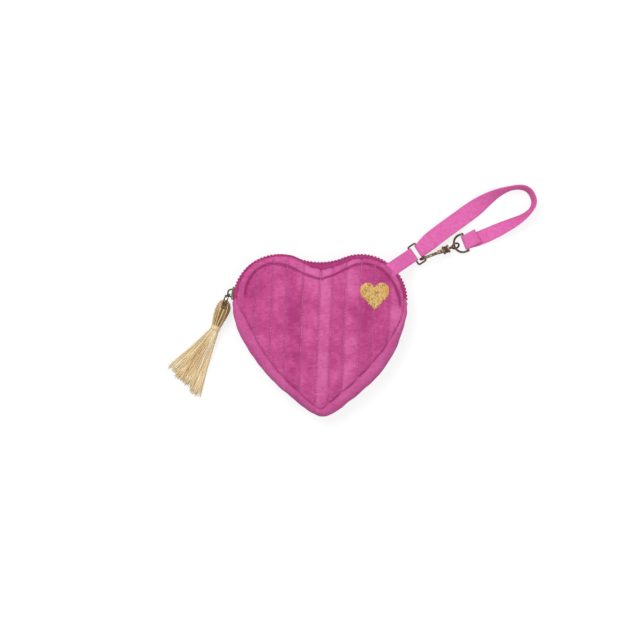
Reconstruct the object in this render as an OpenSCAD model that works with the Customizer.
// Heart shaped zip purse with a wrist strap, a snap hook and a tassel.
// It lies on its back: +Z is up out of the front panel, +Y points to the two lobes.
// The origin is the middle of the flat on the back panel that the purse rests on.

/* [Heart outline] */
// Distance of each lobe's centre from the middle line
lobe_x = 35.5; // [32:0.5:38]
// Height of the lobe centres above the origin
lobe_y = 28.2; // [24:0.5:32]
// Radius of each lobe at the zip
lobe_r = 39.8; // [37:0.2:42]
// Radius of the hollow curve between the lobes
dip_r = 55; // [45:1:65]
// Radius of the long curves down to the tip
flank_r = 118; // [105:1:140]
// Distance of the tip below the origin
tip_drop = 70; // [66:0.5:76]
// Radius of the tip
tip_r = 13.5; // [11:0.5:16]

/* [Panels] */
// How far the panel seams stand in from the zip
seam_inset = 3.5; // [2.5:0.1:5]
// Radius of the panel's long curves, straighter than the zip's
panel_flank_r = 174; // [150:1:200]
// Distance of the panel's tip below the origin
panel_tip_drop = 65.5; // [63:0.5:67]
// Radius of the panel's tip
panel_tip_r = 5.5; // [5.2:0.1:8]
// Thickness of the whole purse through the middle
purse_depth = 27; // [24:0.5:34]
// Depth of the side band where it is narrowest
band_depth = 11.5; // [11:0.5:13]
// Distance between two quilting lines
quilt_pitch = 12; // [9:0.5:16]
// Depth of the quilting lines
quilt_depth = 0.9; // [0.5:0.1:1.2]
// Lean of the quilting lines
quilt_lean = 2.3; // [0:0.1:5]
// Thickness of the velvet face
velvet_t = 1; // [0.8:0.1:1.3]
// Thickness of the wadding
wadding_t = 1.8; // [1:0.1:2.5]
// Thickness of the lining
lining_t = 0.6; // [0.4:0.1:1]
// Depth cut off the back panel's crown where the purse rests
rest_cut = 1.2; // [1:0.1:1.6]
// Width of the gold heart
patch_w = 25; // [20:0.5:30]
// Length of the gold heart
patch_l = 24.4; // [20:0.5:30]
// Distance of the gold heart's middle from the outer side of the lobe
patch_from_side = 28.2; // [26:0.2:32]
// Distance of the gold heart's middle below the top of the lobe
patch_from_top = 36.4; // [33:0.2:39]

/* [Zip] */
// Pitch of the teeth along one side
tooth_pitch = 3; // [2.4:0.1:4]
// Length of a tooth along the zip
tooth_l = 1.7; // [1:0.1:2]
// Height of a tooth away from the parting line
tooth_h = 2.2; // [1.8:0.1:2.6]
// Thickness of a tooth through the tape
tooth_t = 2; // [1.6:0.1:2.4]
// Gap between the two rows of teeth
teeth_gap = 1; // [0.9:0.1:1.4]
// Thickness of the zip tape
tape_t = 0.6; // [0.4:0.1:0.8]
// How far each tooth stands past the tape's edge
tooth_head = 0.7; // [0.5:0.1:1]
// Length of the slider along the zip
slider_l = 11; // [9:0.5:14]
// Thickness of the slider's plates
slider_plate_t = 1.2; // [0.9:0.1:1.5]
// Thickness of the wire of the slider's bail
bail_wire = 1.4; // [1.1:0.1:1.6]

/* [Tassel] */
// Length of the tassel's head
head_l = 25; // [20:0.5:30]
// Width of the tassel's head
head_w = 12.4; // [10:0.2:15]
// Width of the neck under the binding
neck_w = 7.6; // [6:0.2:9]
// Length of the skirt
skirt_l = 52; // [40:1:65]
// Width of the skirt at its free end
skirt_w = 37; // [26:1:44]
// Thickness of the skirt at its free end
skirt_t = 4; // [3:0.2:6]
// Direction of the tassel on the floor
tassel_turn = 242.7; // [236:0.1:250]

/* [Strap] */
// Width of the strap and the tab
strap_w = 12.5; // [10:0.5:14]
// Thickness of the folded cotton
strap_t = 1.2; // [1:0.1:1.5]
// Direction in which the tab leaves the purse
tab_turn = 34; // [30:1:38]
// Length of the tab seen from above
tab_l = 21; // [18:0.5:26]
// Reach of the strap's loop from the ring to its far end
loop_reach = 109; // [90:1:125]
// Length of strap sewn back at each end
sewn_end_l = 12; // [9:0.5:15]
// Wire of the flat ring at the tab
tab_ring_wire = 1.6; // [1.2:0.1:1.8]
// Distance between the two bars of the flat ring
tab_ring_pitch = 7.6; // [7:0.1:8.5]
// Wire of the D-ring
d_ring_wire = 1.9; // [1.5:0.1:2.1]
// Depth of the D-ring from its bar to its bow
d_ring_depth = 12; // [11:0.5:14]

/* [Snap hook] */
// Distance from the swivel eye to the far end of the nose
hook_l = 36; // [34:0.5:40]
// Height of the hook across its opening
hook_h = 10; // [9.4:0.1:10.6]
// Thickness of the hook's stock
hook_stock = 2.6; // [2.2:0.1:2.8]

/* [Hidden] */
$fn = 48;
overrun = 1;
// Clearance between layers of one body, and of running fits
layer_gap = 0.15;
run_gap = 0.08;
soft_gap = 0.3;
velvet = [0.79, 0.33, 0.57];
velvet_dark = [0.61, 0.29, 0.45];
cotton = [0.87, 0.41, 0.69];
old_brass = [0.5, 0.38, 0.3];
gold = [0.82, 0.65, 0.41];
thread = [0.86, 0.75, 0.55];

mid_z = purse_depth / 2;
seam_z = band_depth / 2;
zip_end_turn = -7;
upper_steps = 26;
lower_steps = 26;
dip_steps = 6;

// A heart is a list: lobe x, lobe y, lobe r, dip r, flank r, tip drop, tip r
zip_heart = [lobe_x, lobe_y, lobe_r, dip_r, flank_r, tip_drop, tip_r];
panel_heart = [
    lobe_x, lobe_y, lobe_r - seam_inset, dip_r + seam_inset,
    panel_flank_r, panel_tip_drop, panel_tip_r
];

// The same heart drawn in by d all round
function inset(h, d) = [h[0], h[1], h[2] - d, h[3] + d, h[4] - d, h[5] - d, h[6] - d];

function dip_centre_y(h) = h[1] + sqrt(pow(h[2] + h[3], 2) - h[0] * h[0]);
function join_turn(h) = atan2(dip_centre_y(h) - h[1], -h[0]);
function tip_centre(h) = [0, h[6] - h[5]];
function lobe_centre(h) = [h[0], h[1]];

// The long curve's centre lies fr - lobe r from the lobe's centre and fr - tip r from the tip's
function flank_centre(h) =
    let (
        c1 = lobe_centre(h),
        c3 = tip_centre(h),
        d = norm(c3 - c1),
        u = (c3 - c1) / d,
        a = h[4] - h[2],
        b = h[4] - h[6],
        t = (a * a - b * b + d * d) / (2 * d),
        s = sqrt(a * a - t * t)
    )
    c1 + u * t + [u[1], -u[0]] * s;

function arm(r, turn) = [r * cos(turn), r * sin(turn)];

// Point of the right half of a heart whose outward direction is turn
function heart_at(h, turn) =
    let (
        c1 = lobe_centre(h),
        c2 = flank_centre(h),
        c3 = tip_centre(h),
        lobe_end = atan2(c1[1] - c2[1], c1[0] - c2[0]),
        flank_end = atan2(c3[1] - c2[1], c3[0] - c2[0])
    )
    turn >= lobe_end ? c1 + arm(h[2], turn)
    : turn >= flank_end ? c2 + arm(h[4], turn)
    : c3 + arm(h[6], turn);

// Point of the hollow curve, from the middle at 0 to the lobe at 1
function dip_at(h, share) =
    [0, dip_centre_y(h)] + arm(h[3], -90 + share * (join_turn(h) - 90));

function steps(a, b, n) = [for (i = [0:n]) a + (b - a) * i / n];
function mirrored(points) = [for (i = [len(points) - 1:-1:0]) [-points[i][0], points[i][1]]];

// Right half of the zip's stretch from the middle of the dip to the zip's end
function upper_half(h) = concat(
    [for (i = [0:dip_steps - 1]) dip_at(h, i / dip_steps)],
    [for (t = steps(join_turn(h), zip_end_turn, upper_steps)) heart_at(h, t)]
);
function lower_half(h) = [for (t = steps(zip_end_turn, -90, lower_steps)) heart_at(h, t)];
function rest_of(points) = [for (i = [1:len(points) - 1]) points[i]];

// The zip's stretch from its left end over both lobes, and the lower stretch round the tip
function upper_line(h) = concat(mirrored(upper_half(h)), rest_of(upper_half(h)));
function lower_line(h) = concat(lower_half(h), rest_of(mirrored(lower_half(h))));
function outline(h) = concat(rest_of(upper_line(h)), rest_of(lower_line(h)));

// Points of a row between the seam line and the zip line, raised by rise at each place
function row(far, near, share, rise) = [
    for (i = [0:len(far) - 1])
        let (p = near[i] + (far[i] - near[i]) * share) [p[0], p[1], mid_z + rise(near[i])]
];

// Closed sheet between an outer and an inner grid of points
module sheet(outer, inner) {
    rows = len(outer);
    cols = len(outer[0]);
    half = rows * cols;
    points = [for (grid = [outer, inner]) for (r = grid) for (p = r) p];
    function at(g, r, c) = g * half + r * cols + c;
    function quad(a, b, c, d) = [[a, b, c], [a, c, d]];
    quads = concat(
        [for (r = [0:rows - 2]) for (c = [0:cols - 2])
            quad(at(0, r, c), at(0, r, c + 1), at(0, r + 1, c + 1), at(0, r + 1, c))],
        [for (r = [0:rows - 2]) for (c = [0:cols - 2])
            quad(at(1, r, c), at(1, r + 1, c), at(1, r + 1, c + 1), at(1, r, c + 1))],
        [for (c = [0:cols - 2])
            quad(at(0, 0, c), at(1, 0, c), at(1, 0, c + 1), at(0, 0, c + 1))],
        [for (c = [0:cols - 2])
            quad(at(0, rows - 1, c), at(0, rows - 1, c + 1), at(1, rows - 1, c + 1), at(1, rows - 1, c))],
        [for (r = [0:rows - 2])
            quad(at(0, r, 0), at(0, r + 1, 0), at(1, r + 1, 0), at(1, r, 0))],
        [for (r = [0:rows - 2])
            quad(at(0, r, cols - 1), at(1, r, cols - 1), at(1, r + 1, cols - 1), at(0, r + 1, cols - 1))]
    );
    polyhedron(points, [for (q = quads) for (t = q) t]);
}

// Solid swept through rings of points, closed at both ends
module swept(rings) {
    n = len(rings[0]);
    last = len(rings) - 1;
    sides = [
        for (i = [0:last - 1]) for (j = [0:n - 1])
            let (k = (j + 1) % n, a = i * n, b = (i + 1) * n)
            each [[a + j, a + k, b + k], [a + j, b + k, b + j]]
    ];
    start = [for (j = [1:n - 2]) [0, j + 1, j]];
    finish = [for (j = [1:n - 2]) [last * n, last * n + j, last * n + j + 1]];
    polyhedron([for (r = rings) for (p = r) p], concat(sides, start, finish));
}

/* Panels: a heart cut from a barrel whose axis runs along X */
velvet_depth = quilt_depth + velvet_t;
back_depth = velvet_depth + velvet_t - rest_cut;
rim_reach = norm([lobe_x, lobe_y]) + lobe_r - seam_inset;
crown_r = pow(rim_reach, 2) / (2 * (mid_z - seam_z - velvet_depth - layer_gap));

// Height from the middle to the seam with the front (way 1) or the back (way -1) panel, at p
function seam_rise(p, way) =
    mid_z - p * p / (2 * crown_r) - (way > 0 ? velvet_depth : back_depth) - layer_gap;

function crown(x, puff) =
    crown_r - x * x / (2 * crown_r)
    - puff * quilt_depth * (1 - abs(sin(180 * x / quilt_pitch)));

// Barrel of radius crown_r less drop, with its highest line at the purse's face
module barrel(drop, puff) {
    reach = lobe_x + lobe_r + 2 * overrun;
    cuts = puff > 0 ? ceil(reach / quilt_pitch) * 4 : 12;
    step_x = puff > 0 ? quilt_pitch / 4 : reach / cuts;
    top = [for (i = [-cuts:cuts]) [crown(i * step_x, puff) - drop, i * step_x]];
    translate([0, 0, mid_z - crown_r])
        rotate([0, 0, -quilt_lean])
            rotate([0, 90, 0])
                rotate_extrude($fn = 180)
                    polygon(concat(top, [[0, cuts * step_x], [0, -cuts * step_x]]));
}

// Layer of the front between two depths below the face, cut to the heart h
module front_layer(h, top_drop, bottom_drop, puff) {
    intersection() {
        linear_extrude(mid_z)
            polygon(outline(h));
        difference() {
            barrel(top_drop, puff);
            barrel(bottom_drop, 0);
        }
    }
}

module back_layer(h, top_drop, bottom_drop, puff) {
    mirror([0, 0, 1])
        front_layer(h, top_drop, bottom_drop, puff);
}

wadding_top = velvet_depth + layer_gap;
wadding_bottom = wadding_top + wadding_t;
lining_top = wadding_bottom + layer_gap;
lining_bottom = lining_top + lining_t;
band_lining_in = velvet_t + layer_gap;
layers_in = band_lining_in + lining_t + layer_gap;

module front_panel() {
    color(velvet)
        translate([0, 0, mid_z])
            front_layer(inset(panel_heart, layer_gap), 0, velvet_depth, 1);
}

module front_wadding() {
    color("white")
        translate([0, 0, mid_z])
            front_layer(inset(panel_heart, layers_in), wadding_top, wadding_bottom, 0);
}

module front_lining() {
    color(velvet_dark)
        translate([0, 0, mid_z])
            front_layer(inset(panel_heart, layers_in), lining_top, lining_bottom, 0);
}

module back_panel() {
    color(velvet)
        difference() {
            translate([0, 0, mid_z])
                back_layer(inset(panel_heart, layer_gap), -rest_cut, back_depth, 1);
            translate([-2 * lobe_r, -2 * tip_drop, -rest_cut - 2 * overrun])
                cube([4 * lobe_r, 4 * tip_drop, rest_cut + 2 * overrun]);
        }
}

module back_wadding() {
    color("white")
        translate([0, 0, mid_z])
            back_layer(
                inset(panel_heart, layers_in), wadding_top + velvet_t - rest_cut,
                wadding_bottom + velvet_t - rest_cut, 0
            );
}

module back_lining() {
    color(velvet_dark)
        translate([0, 0, mid_z])
            back_layer(
                inset(panel_heart, layers_in), lining_top + velvet_t - rest_cut,
                lining_bottom + velvet_t - rest_cut, 0
            );
}

/* Side band: a bulging strip between the two seams */
bulge_turns = [-90, -60, -30, 0, 30, 60, 90];

function band(side) = [
    for (t = bulge_turns)
        row(
            lower_line(inset(zip_heart, side)), lower_line(inset(panel_heart, side)),
            cos(t), function (p) sin(t) * seam_rise(p, t)
        )
];

module gusset() {
    color(velvet)
        sheet(band(0), band(velvet_t));
}

module gusset_lining() {
    color(velvet_dark)
        sheet(band(band_lining_in), band(band_lining_in + lining_t));
}

/* Zip: the tape leaves the teeth square to the zip line and then turns in to the seam */
flange_in = teeth_gap / 2 + tooth_h + layer_gap;
flange_out = flange_in + 2 * slider_plate_t / 3;
tape_bend = flange_out + 2 * soft_gap;
chain_r = lobe_r - tape_t / 2;
tape_edge = teeth_gap / 2 + tooth_head;

function tape_row(side, share, rise) =
    row(upper_line(inset(zip_heart, side)), upper_line(inset(panel_heart, side)), share, rise);

function tape_rows(side, way) = [
    tape_row(side, 1, function (p) way * tape_edge),
    tape_row(side, 1, function (p) way * (tape_bend - soft_gap)),
    tape_row(side, 0.86, function (p) way * (tape_bend + soft_gap)),
    tape_row(side, 0, function (p) way * seam_rise(p, way))
];

module zip_tape_front() {
    color(velvet_dark)
        sheet(tape_rows(tape_t, 1), tape_rows(0, 1));
}

module zip_tape_back() {
    color(velvet_dark)
        sheet(tape_rows(0, -1), tape_rows(tape_t, -1));
}

// Section of a tooth clamped on the tape's edge, with way up or down from the parting line
module tooth_section(way) {
    slot_w = tape_t + 2 * layer_gap;
    mirror([0, way < 0 ? 1 : 0])
        difference() {
            translate([-tooth_t / 2, teeth_gap / 2])
                square([tooth_t, tooth_h]);
            translate([-slot_w / 2, tape_edge - layer_gap])
                square([slot_w, tooth_h]);
        }
}

module tooth(r, way) {
    translate([r, 0, mid_z])
        rotate([90, 0, 0])
            linear_extrude(tooth_l, center = true)
                tooth_section(way);
}

module teeth(way) {
    zip_turns = join_turn(zip_heart) - zip_end_turn;
    lobe_pitch = tooth_pitch / chain_r * 180 / PI;
    dip_pitch = tooth_pitch / dip_r * 180 / PI;
    stop_turns = 2 * lobe_pitch;
    dip_half = join_turn(zip_heart) - 90;
    for (side = [0, 1])
        mirror([side, 0, 0]) {
            translate([lobe_x, lobe_y, 0])
                for (t = [zip_end_turn + stop_turns:lobe_pitch:zip_end_turn + zip_turns - lobe_pitch / 3])
                    rotate([0, 0, t])
                        tooth(chain_r, way);
            translate([0, dip_centre_y(zip_heart), 0])
                for (t = [dip_pitch / 2:dip_pitch:dip_half - dip_pitch / 3])
                    rotate([0, 0, -90 + t])
                        tooth(dip_r + tape_t / 2, way);
        }
}

module zip_teeth_front() {
    color(velvet_dark)
        teeth(1);
}

module zip_teeth_back() {
    color(velvet_dark)
        teeth(-1);
}

// Metal clamps over both tapes at the zip's two ends
module zip_stops() {
    stop_span = tooth_t / chain_r * 180 / PI;
    color(old_brass)
        for (side = [0, 1])
            mirror([side, 0, 0])
                translate([lobe_x, lobe_y, mid_z])
                    rotate([0, 0, zip_end_turn + stop_span / 3])
                        rotate_extrude(angle = stop_span)
                            translate([chain_r, 0]) {
                                tooth_section(1);
                                tooth_section(-1);
                                square([tooth_t, teeth_gap + layer_gap], center = true);
                            }
}

module heart_patch() {
    share_x = patch_w / (2 * (lobe_x + lobe_r));
    share_y = patch_l / (lobe_y + lobe_r + tip_drop);
    color(gold)
        translate([0, 0, mid_z])
            intersection() {
                translate([lobe_x + lobe_r - patch_from_side, lobe_y + lobe_r - patch_from_top, 0])
                    linear_extrude(purse_depth)
                        scale([share_x, share_y])
                            polygon(outline(zip_heart));
                difference() {
                    barrel(-velvet_t / 2 - layer_gap / 2, 0);
                    barrel(-layer_gap / 2, 0);
                }
            }
}

/* Slider: two plates joined by a post that stands between the two rows of teeth */
slider_turn = 171;
slider_span = slider_l / chain_r * 180 / PI;
post_span = slider_span / 4;
plate_low = chain_r + tooth_t / 2 + layer_gap;
plate_high = plate_low + slider_plate_t;
slot_half = tape_t / 2 + layer_gap;

// Half of the slider's section through the chain: way is out (1) or in (-1) from the tape
module slider_half_section(way) {
    translate([chain_r, 0])
        mirror([way < 0 ? 1 : 0, 0]) {
            translate([plate_low - chain_r, -flange_out])
                square([slider_plate_t, 2 * flange_out]);
            for (side = [0, 1])
                mirror([0, side])
                    translate([slot_half, flange_in])
                        square([plate_low - chain_r - slot_half + overrun / 2, flange_out - flange_in]);
        }
}

module at_slider() {
    translate([-lobe_x, lobe_y, mid_z])
        rotate([0, 0, slider_turn])
            children();
}

module slider_body() {
    color(old_brass)
        at_slider() {
            rotate([0, 0, -slider_span / 2])
                rotate_extrude(angle = slider_span, $fn = 180) {
                    slider_half_section(1);
                    slider_half_section(-1);
                }
            rotate([0, 0, slider_span / 2 - post_span])
                rotate_extrude(angle = post_span, $fn = 180)
                    translate([2 * chain_r - plate_low - overrun / 4, -teeth_gap / 2 + layer_gap])
                        square([2 * (plate_low - chain_r) + overrun / 2, teeth_gap - 2 * layer_gap]);
        }
}

/* Bail: a wire arch on the outer plate, in the plane of the zip line */
bail_r = 3.2;
bail_centre = plate_high + layer_gap;
ring_on_bail_turn = 45;

module slider_bail() {
    color(old_brass)
        at_slider()
            difference() {
                translate([bail_centre, 0, 0])
                    rotate([0, 0, -90])
                        union() {
                            rotate_extrude(angle = 180)
                                translate([bail_r, 0])
                                    circle(bail_wire / 2);
                            for (side = [-1, 1])
                                translate([side * bail_r, 0, 0])
                                    rotate([90, 0, 0])
                                        cylinder(r = bail_wire / 2, h = overrun);
                        }
                translate([0, 0, -bail_wire])
                    cylinder(r = plate_high, h = 2 * bail_wire, $fn = 180);
            }
}

/* Pull ring: hangs from the bail at a slant */
pull_wire = 1;
pull_ring_r = 2.2;
pull_drop = 50;
pull_turn = slider_turn + ring_on_bail_turn;
pull_hang = pull_ring_r - (pull_wire + bail_wire) / 2 - run_gap;

function out3(turn, drop, length) =
    [length * cos(drop) * cos(turn), length * cos(drop) * sin(turn), -length * sin(drop)];

bail_mid = [-lobe_x, lobe_y, mid_z] + out3(slider_turn, 0, bail_centre);
bail_seat = bail_mid + out3(pull_turn, 0, bail_r);
pull_centre = bail_seat + out3(pull_turn, pull_drop, pull_hang);
pull_end = pull_centre + out3(pull_turn, pull_drop, pull_ring_r);

module torus(r, wire) {
    rotate_extrude()
        translate([r, 0])
            circle(wire / 2);
}

module pull_ring() {
    color(old_brass)
        translate(pull_centre)
            rotate([0, 0, pull_turn])
                rotate([90, 0, 0])
                    torus(pull_ring_r, pull_wire);
}

/* Tassel: it lies on the floor, along tassel_turn */
rest_flat = 0.3;
tassel_z = head_w / 2 - rest_flat;
head_from_ring = 3.9;
head_top = [pull_end[0], pull_end[1], 0] + out3(tassel_turn, 0, head_from_ring);
cord_wire = 1.2;
binding_wire = 1.1;
binding_turns = 3;
cord_bend = (pull_wire + cord_wire) / 2 + soft_gap;

module at_tassel() {
    translate([head_top[0], head_top[1], tassel_z])
        rotate([0, 0, tassel_turn])
            children();
}

module head_solid() {
    profile_shares = [[0, 0.2], [0.03, 0.45], [0.1, 0.75], [0.2, 0.95], [0.32, 1], [0.5, 0.92], [0.75, 0.74]];
    rotate([0, 90, 0])
        rotate_extrude()
            polygon(concat(
                [[0, 0]],
                [for (s = profile_shares) [s[1] * head_w / 2, s[0] * head_l]],
                [[neck_w / 2, head_l - binding_turns * binding_wire], [neck_w / 2, head_l], [0, head_l]]
            ));
}

module tassel_head() {
    color(gold)
        difference() {
            at_tassel()
                head_solid();
            translate([head_top[0] - head_l, head_top[1] - 2 * head_l, -head_w])
                cube([2 * head_l, 3 * head_l, head_w]);
        }
}

module tassel_cord() {
    rise = pull_end[2] - tassel_z;
    run = head_from_ring;
    reach = norm([rise, run]);
    color(old_brass)
        difference() {
            translate(pull_end)
                rotate([0, 0, tassel_turn])
                    rotate([0, atan2(rise, run), 0]) {
                        rotate([0, 0, 90])
                            rotate_extrude(angle = 180)
                                translate([cord_bend, 0])
                                    circle(cord_wire / 2);
                        for (side = [-1, 1])
                            translate([0, side * cord_bend, 0])
                                rotate([0, 90, 0])
                                    cylinder(r = cord_wire / 2, h = reach + cord_wire);
                    }
            at_tassel()
                head_solid();
        }
}

module tassel_binding() {
    color(gold)
        at_tassel()
            for (i = [1:binding_turns])
                translate([head_l - (i - 0.5) * binding_wire, 0, 0])
                    rotate([0, 90, 0])
                        torus((neck_w + binding_wire) / 2 + layer_gap, binding_wire);
}

// Flattened fan whose surface is ribbed by its strands and whose free end is cut at a slant
module tassel_skirt() {
    rings = 9;
    around = 48;
    ribs = 12;
    rib_share = 0.06;
    slant = 11;
    color(thread)
        at_tassel()
            swept([
                for (i = [0:rings - 1])
                    let (
                        s = i / (rings - 1),
                        half_w = neck_w / 2 + (skirt_w - neck_w) / 2 * pow(s, 1.1),
                        half_t = neck_w / 2 + (skirt_t - neck_w) / 2 * min(1, 1.6 * s),
                        z = (half_t - tassel_z) * min(1, 2.2 * s)
                    )
                    [
                        for (j = [0:around - 1])
                            let (
                                a = 360 * j / around,
                                rib = 1 - rib_share * (1 - cos(ribs * a)) * min(1, 2 * s),
                                y = half_w * cos(a) * rib
                            )
                            [
                                head_l + layer_gap + s * skirt_l + s * y * tan(slant),
                                y,
                                max(z + half_t * sin(a) * rib, -tassel_z)
                            ]
                    ]
            ]);
}

/* Tab: a folded strip sewn into the front seam, looped round the flat ring's near bar */
tab_seat_turn = 45;
tab_seat = [lobe_x, lobe_y] + arm(lobe_r, tab_seat_turn);
bar_z = hook_h / 2;
tab_bar = tab_seat + arm(tab_l, tab_turn);
strap_bar = tab_bar + arm(tab_ring_pitch, tab_turn);
tab_loop_r = tab_ring_wire / 2 + run_gap + strap_t;

// Outline of a strip of thickness t along a bent line
function side_of(line, t) = [
    for (i = [0:len(line) - 1])
        let (
            a = line[max(i - 1, 0)],
            b = line[min(i + 1, len(line) - 1)],
            d = (b - a) / norm(b - a)
        )
        line[i] + [-d[1], d[0]] * t
];
function strip(line, t) =
    let (far = side_of(line, -t / 2)) concat(side_of(line, t / 2), [for (i = [len(far) - 1:-1:0]) far[i]]);

module strap_tab() {
    seam_top = mid_z + seam_z + strap_t + layer_gap;
    seam_slant = strap_w / 2 * tan(tab_seat_turn - tab_turn);
    line = [
        [seam_slant + soft_gap - seam_inset, seam_top], [0, seam_top], [tooth_t, seam_top - strap_t],
        [tab_l - strap_t, bar_z + strap_t / 2], [tab_l, bar_z]
    ];
    color(cotton)
        translate([tab_seat[0], tab_seat[1], 0])
            rotate([0, 0, tab_turn])
                difference() {
                    union() {
                        rotate([90, 0, 0])
                            linear_extrude(strap_w, center = true)
                                polygon(strip(line, 2 * strap_t));
                        translate([tab_l, 0, bar_z])
                            across(tab_loop_r, strap_w);
                    }
                    translate([tab_l, 0, bar_z])
                        across(tab_ring_wire / 2 + run_gap, strap_w + 2 * overrun);
                }
}

/* Flat ring: it holds the strap and, beside the strap, the hook's nose */
side_room = 2 * soft_gap;
nose_room = 2 * soft_gap + hook_stock;
ring_corner_r = side_room + tab_ring_wire / 2;
ring_near = strap_w / 2 + side_room + tab_ring_wire / 2;
ring_far = strap_w / 2 + nose_room + tab_ring_wire / 2;

module bar(r, from, to) {
    translate(from)
        rotate([0, 0, atan2(to[1] - from[1], to[0] - from[0])])
            rotate([0, 90, 0])
                cylinder(r = r, h = norm(to - from));
}

module tab_ring() {
    r = tab_ring_wire / 2;
    c = ring_corner_r;
    corners = [[0, -ring_far, 180], [tab_ring_pitch, -ring_far, 270], [tab_ring_pitch, ring_near, 0], [0, ring_near, 90]];
    color(old_brass)
        translate([tab_bar[0], tab_bar[1], bar_z])
            rotate([0, 0, tab_turn]) {
                bar(r, [0, c - ring_far, 0], [0, ring_near - c, 0]);
                bar(r, [tab_ring_pitch, c - ring_far, 0], [tab_ring_pitch, ring_near - c, 0]);
                bar(r, [c, -ring_far, 0], [tab_ring_pitch - c, -ring_far, 0]);
                bar(r, [c, ring_near, 0], [tab_ring_pitch - c, ring_near, 0]);
                for (k = corners)
                    translate([
                        k[0] + (k[0] > 0 ? -c : c),
                        k[1] + (k[1] > 0 ? -c : c), 0
                    ])
                        rotate([0, 0, k[2]])
                            rotate_extrude(angle = 90)
                                translate([c, 0])
                                    circle(r);
            }
}

/* Hook line: from the nose, round the flat ring's far bar, up to the D-ring's bar */
hook_turn = 21;
nose_at = strap_bar + arm(strap_w / 2 + nose_room / 2, tab_turn - 90);
eye_hole_r = 2.3;
eye_wire = 1.7;
eye_offset = 1;
nose_back = hook_h / 2;
eye_reach = hook_l - nose_back + d_ring_wire;
bow_reach = eye_reach - eye_offset - eye_hole_r - eye_wire;
eye_at = bow_reach + eye_offset;
d_loop_r = d_ring_wire / 2 + run_gap + strap_t;
d_bar_z = d_loop_r;
d_length = d_ring_depth - d_ring_wire / 2;
d_rise = asin((bar_z - d_bar_z) / d_length);
d_bar = nose_at + arm(bow_reach + d_length * cos(d_rise), hook_turn);
d_bow_r = strap_w / 2 + soft_gap + 2 * layer_gap + d_ring_wire / 2;

module d_ring() {
    r = d_ring_wire / 2;
    leg = d_length - d_bow_r;
    color(old_brass)
        translate([d_bar[0], d_bar[1], d_bar_z])
            rotate([0, 0, hook_turn + 180])
                rotate([0, -d_rise, 0]) {
                    bar(r, [0, -d_bow_r, 0], [0, d_bow_r, 0]);
                    translate([leg, 0, 0])
                        rotate([0, 0, -90])
                            rotate_extrude(angle = 180)
                                translate([d_bow_r, 0])
                                    circle(r);
                    for (side = [-1, 1]) {
                        bar(r, [0, side * d_bow_r, 0], [leg, side * d_bow_r, 0]);
                        translate([0, side * d_bow_r, 0])
                            sphere(r);
                    }
                }
}

/* Wrist strap: one strip that turns round both bars and stands on edge at its far end */
start_turn = tab_turn + 8;
far_turn = -80;
far_point = strap_bar + arm(loop_reach, 23.5);
out_pull_share = 0.64;
far_pull_share = 0.26;
back_pull_share = 0.165;
end_pull_share = 0.32;
roll_turn = 78;
main_steps = 22;
fold_steps = 6;

function bezier(p, t) =
    p[0] * pow(1 - t, 3) + 3 * p[1] * t * pow(1 - t, 2) + 3 * p[2] * t * t * (1 - t) + p[3] * pow(t, 3);
function bezier_heading(p, t) =
    let (
        d = (p[1] - p[0]) * pow(1 - t, 2) + 2 * (p[2] - p[1]) * t * (1 - t) + (p[3] - p[2]) * t * t
    )
    atan2(d[1], d[0]);
function smooth(a, b, x) = let (s = min(1, max(0, (x - a) / (b - a)))) s * s * (3 - 2 * s);

way_out = [
    strap_bar, strap_bar + arm(loop_reach * out_pull_share, start_turn),
    far_point - arm(loop_reach * far_pull_share, far_turn), far_point
];
way_back = [
    far_point, far_point + arm(loop_reach * back_pull_share, far_turn),
    d_bar + arm(loop_reach * end_pull_share, hook_turn), d_bar
];

function strap_roll(s) = roll_turn * (smooth(0.2, 0.5, s) - smooth(0.6, 0.92, s));

// Ring of the strip at p, with its width turned by roll and its length climbing by climb
function strip_ring(p, heading, climb, roll) =
    let (
        across = [-sin(heading), cos(heading), 0],
        up = [-sin(climb) * cos(heading), -sin(climb) * sin(heading), cos(climb)],
        w = (across * cos(roll) + up * sin(roll)) * strap_w / 2,
        t = (up * cos(roll) - across * sin(roll)) * strap_t / 2
    )
    [p + w + t, p - w + t, p - w - t, p + w - t];

// Layer height over a bar's centre, and the turn of the strip round it
function fold_ring(at, z, heading, climb, out, r) =
    strip_ring(
        [at[0], at[1], z] + out * r * [-sin(climb) * cos(heading), -sin(climb) * sin(heading), cos(climb)],
        heading, climb, 0
    );

module wrist_strap() {
    near_r = tab_loop_r - strap_t / 2;
    far_r = d_loop_r - strap_t / 2;
    tail_at = strap_bar + arm(sewn_end_l, start_turn);
    tail_back = d_bar + arm(sewn_end_l, hook_turn);
    tail_z = bar_z - near_r - strap_t / 2;
    color(cotton)
        swept(concat(
            [strip_ring([tail_at[0], tail_at[1], tail_z - near_r / 2], tab_turn, 180, 0)],
            [for (c = steps(180, 0, fold_steps)) fold_ring(strap_bar, bar_z, tab_turn, c, 1, near_r)],
            [
                for (i = [2:2 * main_steps - 2])
                    let (
                        t = i / main_steps,
                        p = t <= 1 ? bezier(way_out, t) : bezier(way_back, t - 1),
                        h = t <= 1 ? bezier_heading(way_out, t) : bezier_heading(way_back, t - 1),
                        roll = strap_roll(t / 2),
                        rest = strap_w / 2 * abs(sin(roll)) + strap_t / 2 * cos(roll),
                        lift = (bar_z + near_r - strap_t / 2) * (1 - smooth(-0.05, 0.5, t))
                    )
                    strip_ring([p[0], p[1], rest + lift], h, 0, roll)
            ],
            [for (c = steps(0, 180, fold_steps)) fold_ring(d_bar, d_bar_z, hook_turn + 180, c, -1, far_r)],
            [strip_ring([tail_back[0], tail_back[1], d_bar_z + far_r], hook_turn + 180, 180, 0)]
        ));
}

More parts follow.
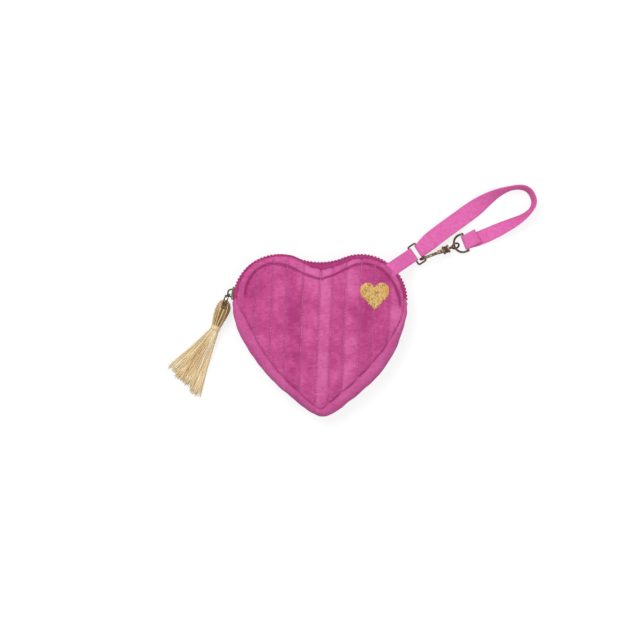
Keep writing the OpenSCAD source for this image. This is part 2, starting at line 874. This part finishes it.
/* Snap hook: its plane stands upright, with x along its length from the flat ring's bar */
arm_r = (hook_h - hook_stock) / 2;
gate_tip = 2.4;
gate_pivot = 13.5;
block_from = gate_pivot + 1.9;
block_to = block_from + 2;
barrel_to = block_to + 5.5;
barrel_r = 3.1;
flange_t = 1.2;
stem_r = 1.1;
rivet_r = 1.8;
rivet_t = 1.2;
cheek_t = 0.8;
gate_t = 1.8;
pin_r = 0.7;

module at_hook() {
    translate([nose_at[0], nose_at[1], bar_z])
        rotate([0, 0, hook_turn])
            children();
}

// Cylinder along x between two places
module along(r, from, to) {
    translate([from, 0, 0])
        rotate([0, 90, 0])
            cylinder(r = r, h = to - from);
}

module across(r, length) {
    rotate([90, 0, 0])
        cylinder(r = r, h = length, center = true);
}

module hook_body() {
    color(old_brass)
        at_hook()
            difference() {
                union() {
                    rotate([90, 0, 0])
                        rotate([0, 0, 90])
                            rotate_extrude(angle = 180)
                                translate([arm_r, 0])
                                    circle(hook_stock / 2);
                    translate([0, 0, -arm_r])
                        along(hook_stock / 2, 0, block_from);
                    translate([0, 0, arm_r])
                        along(hook_stock / 2, 0, gate_tip - soft_gap);
                    translate([block_from, -gate_t / 2 - layer_gap - cheek_t, -arm_r - hook_stock / 4])
                        cube([block_to - block_from, gate_t + 2 * (layer_gap + cheek_t), 2 * arm_r + hook_stock / 2]);
                    for (side = [0, 1])
                        mirror([0, side, 0])
                            translate([gate_pivot, gate_t / 2 + layer_gap, arm_r])
                                rotate([-90, 0, 0])
                                    linear_extrude(cheek_t) {
                                        circle(hook_stock / 2);
                                        translate([0, -hook_stock / 2])
                                            square([block_from - gate_pivot + overrun / 2, hook_stock]);
                                    }
                    along(barrel_r, block_to - overrun / 2, barrel_to);
                    along(barrel_r + flange_t / 2, block_to, block_to + flange_t);
                    along(barrel_r + flange_t / 2, barrel_to - flange_t, barrel_to);
                }
                along(stem_r + run_gap, barrel_to - 2 * rivet_t - flange_t, barrel_to + overrun);
                along(
                    rivet_r + run_gap, barrel_to - 2 * rivet_t - flange_t,
                    barrel_to - rivet_t - flange_t + 2 * run_gap
                );
                translate([gate_pivot, 0, arm_r])
                    across(pin_r, strap_w);
            }
}

module hook_gate() {
    color(old_brass)
        at_hook()
            difference() {
                rotate([90, 0, 0])
                    linear_extrude(gate_t, center = true) {
                        translate([gate_tip, arm_r - hook_stock / 2])
                            square([gate_pivot - gate_tip, 0.8 * hook_stock]);
                        translate([gate_pivot, arm_r])
                            circle(hook_stock / 2);
                        translate([gate_pivot - 2 * hook_stock, arm_r])
                            circle(hook_stock * 0.7);
                    }
                translate([gate_pivot, 0, arm_r])
                    across(pin_r + run_gap, strap_w);
            }
}

module gate_pin() {
    color(old_brass)
        at_hook()
            translate([gate_pivot, 0, arm_r])
                across(pin_r, gate_t + 2 * (layer_gap + cheek_t));
}

// Bent leaf on the block's wall that pushes the gate shut
module gate_spring() {
    leaf_t = 0.35;
    leaf_top = arm_r - hook_stock / 2 - layer_gap;
    line = [
        [block_from - leaf_t / 2, 0], [block_from - leaf_t / 2, leaf_top - 2 * leaf_t],
        [block_from - hook_stock, leaf_top - leaf_t], [block_from - 2 * hook_stock, leaf_top - leaf_t / 2]
    ];
    color("silver")
        at_hook()
            rotate([90, 0, 0])
                linear_extrude(gate_t, center = true)
                    polygon(strip(line, leaf_t));
}

module swivel_eye() {
    eye_tilt = 40;
    eye_r = eye_hole_r + eye_wire / 2;
    color(old_brass)
        at_hook() {
            difference() {
                along(stem_r, barrel_to - rivet_t - flange_t, eye_at - eye_hole_r - eye_wire / 3);
                translate([eye_at, 0, 0])
                    sphere(eye_hole_r);
            }
            along(rivet_r, barrel_to - 2 * rivet_t - flange_t + run_gap, barrel_to - rivet_t - flange_t + run_gap);
            translate([eye_at, 0, 0])
                rotate([90 - eye_tilt, 0, 0])
                    torus(eye_r, eye_wire);
        }
}

front_panel();
front_wadding();
front_lining();
back_panel();
back_wadding();
back_lining();
gusset();
gusset_lining();
zip_tape_front();
zip_tape_back();
zip_teeth_front();
zip_teeth_back();
zip_stops();
heart_patch();
slider_body();
slider_bail();
pull_ring();
tassel_cord();
tassel_head();
tassel_binding();
tassel_skirt();
strap_tab();
tab_ring();
wrist_strap();
d_ring();
swivel_eye();
hook_body();
hook_gate();
gate_pin();
gate_spring();
